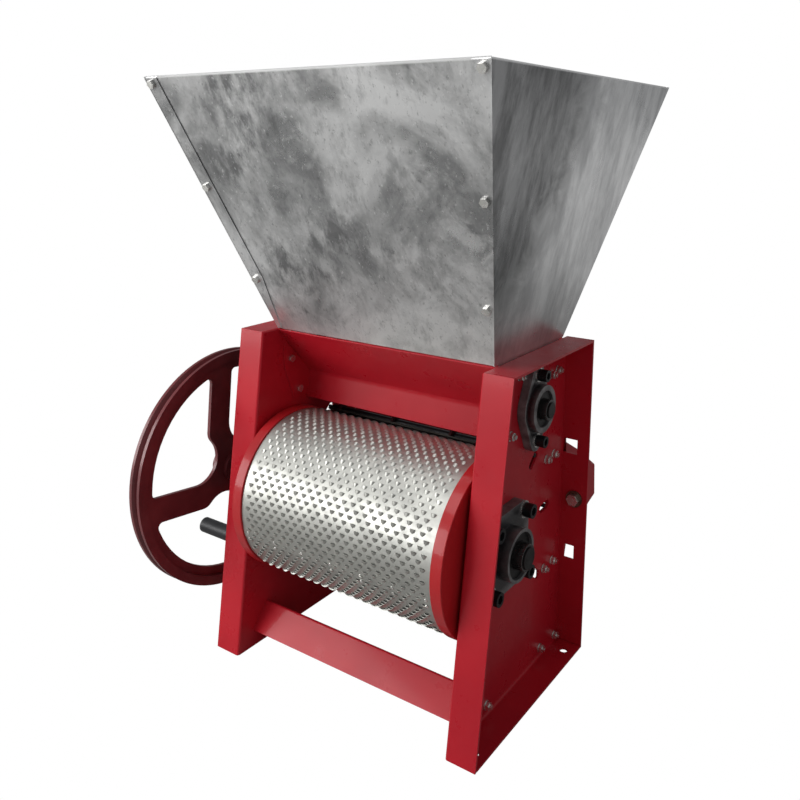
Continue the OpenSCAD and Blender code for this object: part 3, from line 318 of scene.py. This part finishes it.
def wear(obj, look):
    obj.data.materials.clear()
    obj.data.materials.append(LOOKS[look])


# Shapes


def both(*names):
    """The right and the left node of each name."""
    return tuple(f"{name}_{side}" for name in names for side in ("right", "left"))


# Widths to which the nodes' edges are rounded
ROUNDED = {
    0.0007: both("side_plate"),
    0.0005: ("throat_front_panel", "throat_rear_panel", "front_lower_rail", "rear_lower_rail", "rear_hood",
             "drum_bearing_inner_rings", "feed_bearing_inner_rings", "drum_bearing_outer_rings",
             "feed_bearing_outer_rings", "drum_shaft", "feed_shaft", "crank_grip", "drum_seam_rivets"),
    0.0003: (*both("hopper_side"), "hopper_front", "hopper_rear"),
    0.0016: ("flywheel",),
    0.0012: both("drum_disc"),
    0.0010: ("drum_pulley", "feed_pulley", "feed_roller"),
    0.0008: both("drum_bearing_housing", "feed_bearing_housing"),
    0.0006: ("adjuster_bar", "breast_plate", "breast_ribs"),
    0.0004: ("frame_bolts", "frame_nuts", "hood_bolts", "hood_nuts", "hopper_bolts", "hopper_nuts",
             "drum_bearing_screws", "feed_bearing_screws", "crank_pin", "crank_pin_nut",
             *both("adjuster_screw"), "adjuster_locknuts"),
    0.00015: ("frame_washers", "hood_washers", "drum_bearing_washers", "feed_bearing_washers"),
}
# Widths of the rounding along the long edges where a sheet is folded
FOLDED = {
    0.0045: ("throat_front_panel",),
    0.0035: (*both("side_plate"), "front_lower_rail", "rear_lower_rail"),
    0.0025: ("throat_rear_panel", "rear_hood", *both("hopper_side")),
}
FOLD_OF = {name: fold for fold, names in FOLDED.items() for name in names}
# A fold is longer than this, lies between faces larger than this and turns by more than this angle
FOLD_LENGTH, FOLD_AREA, FOLD_TURN = 0.15, 0.004, math.radians(20)
FOLD_SEGMENTS = 4
# A rounding wider than this has three segments, and the others two
FINE_WIDTH = 0.0008
# Points nearer than this are one, and faces that turn by less than this angle become one
SAME_POINT, FLAT_ANGLE = 2e-6, math.radians(0.6)
# Only edges that turn by more than this angle are rounded
ROUNDED_ANGLE = math.radians(28)
# Edges that turn by more than this, in degrees, stay sharp in the smooth shading
SHARP_CAD, SHARP_ROUNDED, SHARP_SKIN = 30, 35, 50
# Looks that differ from the node's material slot
OWN_LOOK = {
    # The breast ribs and plate take looks darkened as painted shade
    "breast_ribs": "rib_paint_painted_shade", "breast_plate": "plate_steel_painted_shade", "hood_washers": "washer_bronze",
    "drum_shaft": "shaft_dark", "feed_shaft": "shaft_dark",
    "drum_bearing_inner_rings": "ring_steel", "feed_bearing_inner_rings": "ring_steel",
    "drum_bearing_outer_rings": "shaft_dark", "feed_bearing_outer_rings": "shaft_dark",
}


def smoothed(mesh, sharp):
    mesh.shade_smooth()
    mesh.set_sharp_from_angle(angle=math.radians(sharp))


def mesh_object(name, bm, slot, body, stands_for=()):
    """A new object of the mesh, which moves with the body and stands for the given nodes."""
    mesh = bpy.data.meshes.new(name)
    bmesh.ops.recalc_face_normals(bm, faces=bm.faces)
    bm.to_mesh(mesh)
    bm.free()
    obj = bpy.data.objects.new(name, mesh)
    bpy.context.scene.collection.objects.link(obj)
    wear(obj, slot)
    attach(obj, body)
    if stands_for:
        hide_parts(*stands_for)
    return obj


def fold_edges(bm):
    """The edges along which a sheet is folded: long, between two broad faces."""
    return [edge for edge in bm.edges if len(edge.link_faces) == 2
            and edge.calc_length() > FOLD_LENGTH and edge.calc_face_angle() > FOLD_TURN
            and min(face.calc_area() for face in edge.link_faces) > FOLD_AREA]


def bake(obj):
    """Turns the object's modifiers into its mesh."""
    bpy.context.view_layer.update()
    deps = bpy.context.evaluated_depsgraph_get()
    mesh = bpy.data.meshes.new_from_object(obj.evaluated_get(deps))
    old = obj.data
    obj.modifiers.clear()
    obj.data = mesh
    bpy.data.meshes.remove(old)


def rounded(node, width, fold):
    """The CAD node's own shape with its edges rounded, standing for that node."""
    bm = bmesh.new()
    bm.from_mesh(NODES[node].data)
    bmesh.ops.remove_doubles(bm, verts=bm.verts, dist=SAME_POINT)
    bmesh.ops.dissolve_limit(bm, angle_limit=FLAT_ANGLE, verts=bm.verts, edges=bm.edges, delimit={"NORMAL"})
    if fold:
        bmesh.ops.bevel(bm, geom=fold_edges(bm), offset=fold, segments=FOLD_SEGMENTS, profile=0.5,
                        affect="EDGES", clamp_overlap=False)
    obj = mesh_object(node + "_look", bm, SLOT_OF[node], BODY_OF[node], (node,))
    bevel = obj.modifiers.new("rounding", "BEVEL")
    bevel.width = width
    bevel.segments = 3 if width > FINE_WIDTH else 2
    bevel.limit_method = "ANGLE"
    bevel.angle_limit = ROUNDED_ANGLE
    bake(obj)
    smoothed(obj.data, SHARP_ROUNDED)
    weigh = obj.modifiers.new("flat_faces", "WEIGHTED_NORMAL")
    weigh.keep_sharp = True
    bake(obj)
    if node in OWN_LOOK:
        wear(obj, OWN_LOOK[node])


for name, obj in NODES.items():
    wear(obj, SLOT_OF[name])
    smoothed(obj.data, SHARP_CAD)
for width, names in ROUNDED.items():
    for name in names:
        rounded(name, width, FOLD_OF.get(name, 0.0))


# Punched drum skin

DRUM_SPIN = next(joint for joint in RECORD["behaviour"]["joints"] if joint["name"] == "drum_spin")
DRUM_Y, DRUM_Z = DRUM_SPIN["pos_m"][1:]
SKIN_LOW, SKIN_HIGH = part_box("drum_skin")
# The skin that is drawn lies this far inside the CAD skin's box
SKIN_SINK = 0.0002
SKIN_R = DRUM_Z - SKIN_LOW[2] - SKIN_SINK
SKIN_HALF = SKIN_HIGH[0] - SKIN_SINK
SKIN_T = 0.0015
SKIN_SEGMENTS = 180
SEAM_ANGLE = math.radians(196)
# The seam's lap: angles in degrees and heights over the skin, rising slowly and ending in a step
LAP = ((189.0, 0.0), (191.7, 0.0003), (194.4, 0.0005), (197.1, 0.0006), (197.2, 0.0))

TOOTH_COLUMNS, TOOTH_ROWS = 21, 90
TOOTH_PITCH_X = 0.01415
TOOTH_HALF_W = 0.0040
TOOTH_H = 0.0023
TOOTH_BACK = 0.0051
TOOTH_WALL = 0.0008
# The tail is at least this share of the width, and the lip's corners lie this far before its middle
TAIL_SHARE, LIP_BEND = 0.12, 0.0005
# The wall's inner edge is drawn in by this share of its thickness, and stands this far before the lip
WALL_SHARE, WALL_STEP = 0.8, 0.0002
# The dark mouth, a sheet of painted shadow across the tooth's opening: its length under the back, lift off
# the skin, start before the lip and share of the lip
MOUTH_LENGTH, MOUTH_LIFT, MOUTH_START = 0.0034, 0.00005, 0.0004
MOUTH_WIDTH, MOUTH_HEIGHT, MOUTH_POWER = 0.98, 0.96, 2.2
# Faces across and along a tooth
ACROSS, ALONG = 8, 5
STEPS = [-1 + 2 * i / ACROSS for i in range(ACROSS + 1)]
# Chance spread of a tooth's width and height as shares, of its place in metres and of its angle in radians
WIDTH_SPREAD, HEIGHT_SPREAD = (0.95, 1.05), (0.9, 1.08)
PLACE_SPREAD, ANGLE_SPREAD = 0.0002, 0.0015
rng = random.Random(11)


def on_drum(x, turn, r):
    """A point on a circle about the drum's axis; turn in radians from +Y towards +Z."""
    return Vector((x, DRUM_Y + r * math.cos(turn), DRUM_Z + r * math.sin(turn)))


def dome(u):
    """Height of a round arch at u, which goes from -1 to 1 across it."""
    return math.sqrt(max(0.0, 1 - u * u))


def band(bm, first, second):
    """Faces between two rows with the same number of points."""
    return [bm.faces.new((first[i], first[i + 1], second[i + 1], second[i])) for i in range(len(first) - 1)]


def tooth(bm, dark, x, turn):
    """One punched tooth: a back that rises from a narrow tail to an open lip, and its dark mouth, a sheet of
    painted shadow across the opening.
    The tail lies towards larger angles and the mouth faces smaller ones, so that at the front of the
    drum the tail is below and the mouth faces up."""
    w = TOOTH_HALF_W * rng.uniform(*WIDTH_SPREAD)
    h = TOOTH_H * rng.uniform(*HEIGHT_SPREAD)

    def row(mesh, half, shift, lift):
        """A row of points across the tooth, with shift and lift as functions of the place across."""
        return [mesh.verts.new(on_drum(x + u * half, turn + shift(u) / SKIN_R, SKIN_R + lift(u)))
                for u in STEPS]

    def back_row(rise):
        half = max(w * dome(1 - rise), w * TAIL_SHARE)
        return row(bm, half, lambda u: TOOTH_BACK * (1 - rise) - LIP_BEND * u * u,
                   lambda u: h * rise * dome(u))

    back = [back_row(math.sin(j / ALONG * math.pi / 2)) for j in range(ALONG + 1)]
    # The back's faces take the second, darker steel, as painted shade
    for first, second in zip(back, back[1:]):
        for face in band(bm, first, second):
            face.material_index = 1
    inner = row(bm, w - TOOTH_WALL * WALL_SHARE, lambda u: -WALL_STEP,
                lambda u: max(0.0, h * dome(u) - TOOTH_WALL))
    band(bm, back[-1], inner)
    # The mouth: a dark sheet of painted shadow across the opening
    low = row(dark, w * MOUTH_WIDTH, lambda u: MOUTH_LENGTH * (1 - abs(u) ** MOUTH_POWER),
              lambda u: MOUTH_LIFT)
    top = row(dark, w * MOUTH_WIDTH, lambda u: -MOUTH_START,
              lambda u: max(MOUTH_LIFT, (h - TOOTH_WALL) * MOUTH_HEIGHT * dome(u)))
    band(dark, low, top)


def ring(bm, start, r, places):
    """Rows of points round the drum, each along its axis."""
    return [[bm.verts.new(on_drum(x, start + 2 * math.pi * i / SKIN_SEGMENTS, r)) for x in places]
            for i in range(SKIN_SEGMENTS)]


def tube(bm):
    """The skin's outer and inner face and the lap of its seam."""
    ends = (-SKIN_HALF, SKIN_HALF)
    outer = ring(bm, SEAM_ANGLE, SKIN_R, (-SKIN_HALF, -SKIN_HALF / 3, SKIN_HALF / 3, SKIN_HALF))
    for first, second in zip(outer, outer[1:] + outer[:1]):
        band(bm, first, second)
    inner = ring(bm, 0.0, SKIN_R - SKIN_T, ends)
    for first, second in zip(inner, inner[1:] + inner[:1]):
        band(bm, second, first)
    lap = [[bm.verts.new(on_drum(x, math.radians(angle), SKIN_R + lift)) for x in ends]
           for angle, lift in LAP]
    for first, second in zip(lap, lap[1:]):
        band(bm, first, second)


def drum_skin():
    bm, dark = bmesh.new(), bmesh.new()
    tube(bm)
    for r in range(TOOTH_ROWS):
        turn = SEAM_ANGLE + 2 * math.pi * (r + 0.5) / TOOTH_ROWS
        odd = r % 2
        for c in range(TOOTH_COLUMNS - odd):
            x = (c - (TOOTH_COLUMNS - 1) / 2 + odd / 2) * TOOTH_PITCH_X
            x += rng.uniform(-PLACE_SPREAD, PLACE_SPREAD)
            tooth(bm, dark, x, turn + rng.uniform(-ANGLE_SPREAD, ANGLE_SPREAD))
    skin = mesh_object("drum_skin_punched", bm, "drum_steel", "drum", ("drum_skin",))
    smoothed(skin.data, SHARP_SKIN)
    # The teeth's backs get the darker steel as painted shade
    skin.data.materials.append(LOOKS["tooth_steel_painted_shade"])
    mouth_shadows = mesh_object("drum_tooth_mouth_shadows", dark, "drum_steel", "drum")
    wear(mouth_shadows, "mouth_shadow")


drum_skin()


# Camera, floor and light

# The camera's place, and in degrees its turn round the object from the front, its tilt down and its roll
CAMERA_AT = Vector((0.63093, -0.88366, 0.72032))
CAMERA_TURN, CAMERA_TILT, CAMERA_ROLL = 34.63192, 10.94357, 0.38240
FOCAL_PX, CENTRE_PX, CENTRE_PY, IMAGE_PX = 828.344, 413.607, 301.338, 800
SENSOR_MM = 36
VIEW_END = 50

MIDDLE = (0, 0, 0.35)
FLOOR_HALF, FLOOR_CELLS, FLOOR_DROP = 6, 24, 0.0005
PAPER = ((0.40, 0.40, 0.39), (0.46, 0.46, 0.45))
# Reflections of the floor brighten to this share between these places on the Y axis
FAR_SHARE, FAR_FROM, FAR_TO = 0.5, 1.3, 2.2
ROOM_TINT, ROOM_STRENGTH = (0.96, 0.98, 1.0, 1), 0.26


def photo_camera():
    data = bpy.data.cameras.new("photo_camera")
    cam = bpy.data.objects.new("photo_camera", data)
    bpy.context.scene.collection.objects.link(cam)
    turn = Matrix.Rotation(math.radians(CAMERA_TURN), 4, "Z")
    tilt = Matrix.Rotation(math.radians(90 - CAMERA_TILT), 4, "X")
    roll = Matrix.Rotation(math.radians(CAMERA_ROLL), 4, "Z")
    cam.matrix_world = Matrix.Translation(CAMERA_AT) @ turn @ tilt @ roll
    data.sensor_width = SENSOR_MM
    data.lens = SENSOR_MM * FOCAL_PX / IMAGE_PX
    data.shift_x = (IMAGE_PX / 2 - CENTRE_PX) / IMAGE_PX
    data.shift_y = (CENTRE_PY - IMAGE_PX / 2) / IMAGE_PX
    data.clip_end = VIEW_END
    data.dof.use_dof = False
    bpy.context.scene.camera = cam


def area_light(name, at, aim, power, width, height=None):
    """A flat light, square unless it has a height."""
    data = bpy.data.lights.new(name, "AREA")
    data.energy = power
    data.size = width
    if height:
        data.shape = "RECTANGLE"
        data.size_y = height
    lamp = bpy.data.objects.new(name, data)
    bpy.context.scene.collection.objects.link(lamp)
    lamp.location = at
    lamp.rotation_euler = (Vector(aim) - Vector(at)).to_track_quat("-Z", "Y").to_euler()


def floor_paper():
    """Grey paper that lights the object from below, but is white to the camera and in far reflections."""
    k = Look("floor_paper")
    tone = k.mix(k.span(k.noise(3, 3), 0, 1, 0.3, 0.7), *PAPER)
    paper = k.finish(tone, 0.8, 0.0, k.bump(k.noise(200, 3), strength=0.02))
    ray = k.node("LightPath").outputs
    far = k.span(k.axes(k.where)["Y"], 0, FAR_SHARE, FAR_FROM, FAR_TO)
    share = k.math("MAXIMUM", ray["Is Camera Ray"], k.math("MULTIPLY", far, ray["Is Glossy Ray"]))
    white = k.node("Emission", {"Strength": 1.0}).outputs["Emission"]
    picked = k.node("MixShader", {0: share, 1: k.bsdf.outputs["BSDF"], 2: white})
    k.link(picked.outputs["Shader"], k.surface)
    return paper


def paper_floor():
    bm = bmesh.new()
    bmesh.ops.create_grid(bm, x_segments=FLOOR_CELLS, y_segments=FLOOR_CELLS, size=FLOOR_HALF)
    mesh = bpy.data.meshes.new("floor")
    bm.to_mesh(mesh)
    bm.free()
    floor = bpy.data.objects.new("floor", mesh)
    floor.location = (0, 0, -FLOOR_DROP)
    bpy.context.scene.collection.objects.link(floor)
    mesh.materials.append(floor_paper())


def studio():
    """A room that is white to the camera and a soft, slightly blue grey to everything else."""
    world = bpy.data.worlds.new("studio")
    bpy.context.scene.world = world
    world.use_nodes = True
    nodes, links = world.node_tree.nodes, world.node_tree.links
    nodes.clear()
    white = nodes.new("ShaderNodeBackground")
    white.inputs["Color"].default_value = (1, 1, 1, 1)
    soft = nodes.new("ShaderNodeBackground")
    soft.inputs["Color"].default_value = ROOM_TINT
    soft.inputs["Strength"].default_value = ROOM_STRENGTH
    picked = nodes.new("ShaderNodeMixShader")
    links.new(nodes.new("ShaderNodeLightPath").outputs["Is Camera Ray"], picked.inputs[0])
    links.new(soft.outputs["Background"], picked.inputs[1])
    links.new(white.outputs["Background"], picked.inputs[2])
    links.new(picked.outputs["Shader"], nodes.new("ShaderNodeOutputWorld").inputs["Surface"])


photo_camera()
area_light("key", at=(-1.50, -1.86, 0.93), aim=MIDDLE, power=38, width=2.1, height=1.15)
area_light("fill", at=(2.4, -1.6, 1.3), aim=MIDDLE, power=4, width=0.3, height=1.8)
area_light("top", at=(-0.8, -1.0, 2.5), aim=(0, 0, 0.3), power=18, width=1.4)
paper_floor()
studio()
bpy.context.scene.view_settings.view_transform = "Standard"
